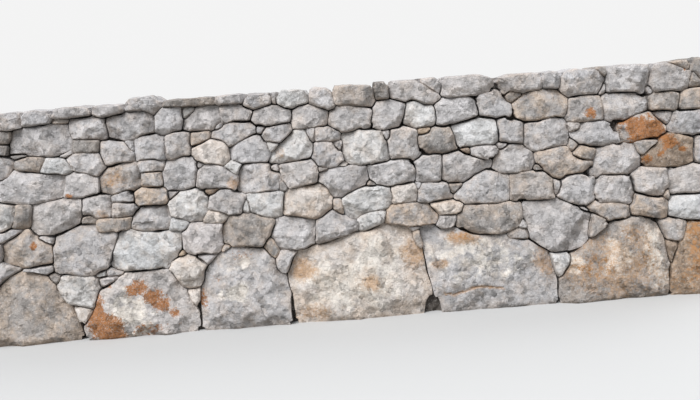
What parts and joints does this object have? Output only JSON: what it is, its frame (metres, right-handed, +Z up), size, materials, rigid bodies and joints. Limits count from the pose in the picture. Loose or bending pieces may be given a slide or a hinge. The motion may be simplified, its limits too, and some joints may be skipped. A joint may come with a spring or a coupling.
{
  "type": "dry stone wall",
  "caption": "Straight length of battered dry stone wall with large base boulders, rough coursed stones, through stones at both ends and a row of cap stones.",
  "frame": {"origin": "middle of the wall's foot, on the ground the wall stands on", "axes": "+X along the wall towards its right end seen from the front, +Y across the wall from the front face to the back face, +Z up"},
  "size_m": [5, 0.7358, 1.61],
  "materials": {
    "end_boulder": "rough weathered limestone with rust specks",
    "base_boulder": "rough weathered limestone with ochre lichen",
    "course_stone": "rough broken limestone, pale grey with buff edges",
    "head_stone": "rough broken limestone",
    "hearting": "loose packed rubble, dull and dark",
    "cap_stone": "weathered limestone slab, greyer on top"
  },
  "bodies": {
    "root": {"left_end_boulder": "end_boulder", "right_end_boulder": "end_boulder", "front_boulder_1": "base_boulder", "front_boulder_2": "base_boulder", "front_boulder_3": "base_boulder", "front_boulder_4": "base_boulder", "front_boulder_5": "base_boulder", "back_boulder_1": "base_boulder", "back_boulder_2": "base_boulder", "back_boulder_3": "base_boulder", "back_boulder_4": "base_boulder", "back_boulder_5": "base_boulder", "front_course_1": "course_stone", "front_course_2": "course_stone", "front_course_3": "course_stone", "front_course_4": "course_stone", "front_course_5": "course_stone", "front_course_6": "course_stone", "back_course_1": "course_stone", "back_course_2": "course_stone", "back_course_3": "course_stone", "back_course_4": "course_stone", "back_course_5": "course_stone", "back_course_6": "course_stone", "left_wall_head": "head_stone", "right_wall_head": "head_stone", "hearting": "hearting", "cap_stone_1": "cap_stone", "cap_stone_2": "cap_stone", "cap_stone_3": "cap_stone", "cap_stone_4": "cap_stone", "cap_stone_5": "cap_stone", "cap_stone_6": "cap_stone", "cap_stone_7": "cap_stone", "cap_stone_8": "cap_stone", "cap_stone_9": "cap_stone", "cap_stone_10": "cap_stone", "cap_stone_11": "cap_stone", "cap_stone_12": "cap_stone", "cap_stone_13": "cap_stone", "cap_stone_14": "cap_stone", "cap_stone_15": "cap_stone", "cap_fillers": "cap_stone"}
  },
  "joints": []
}
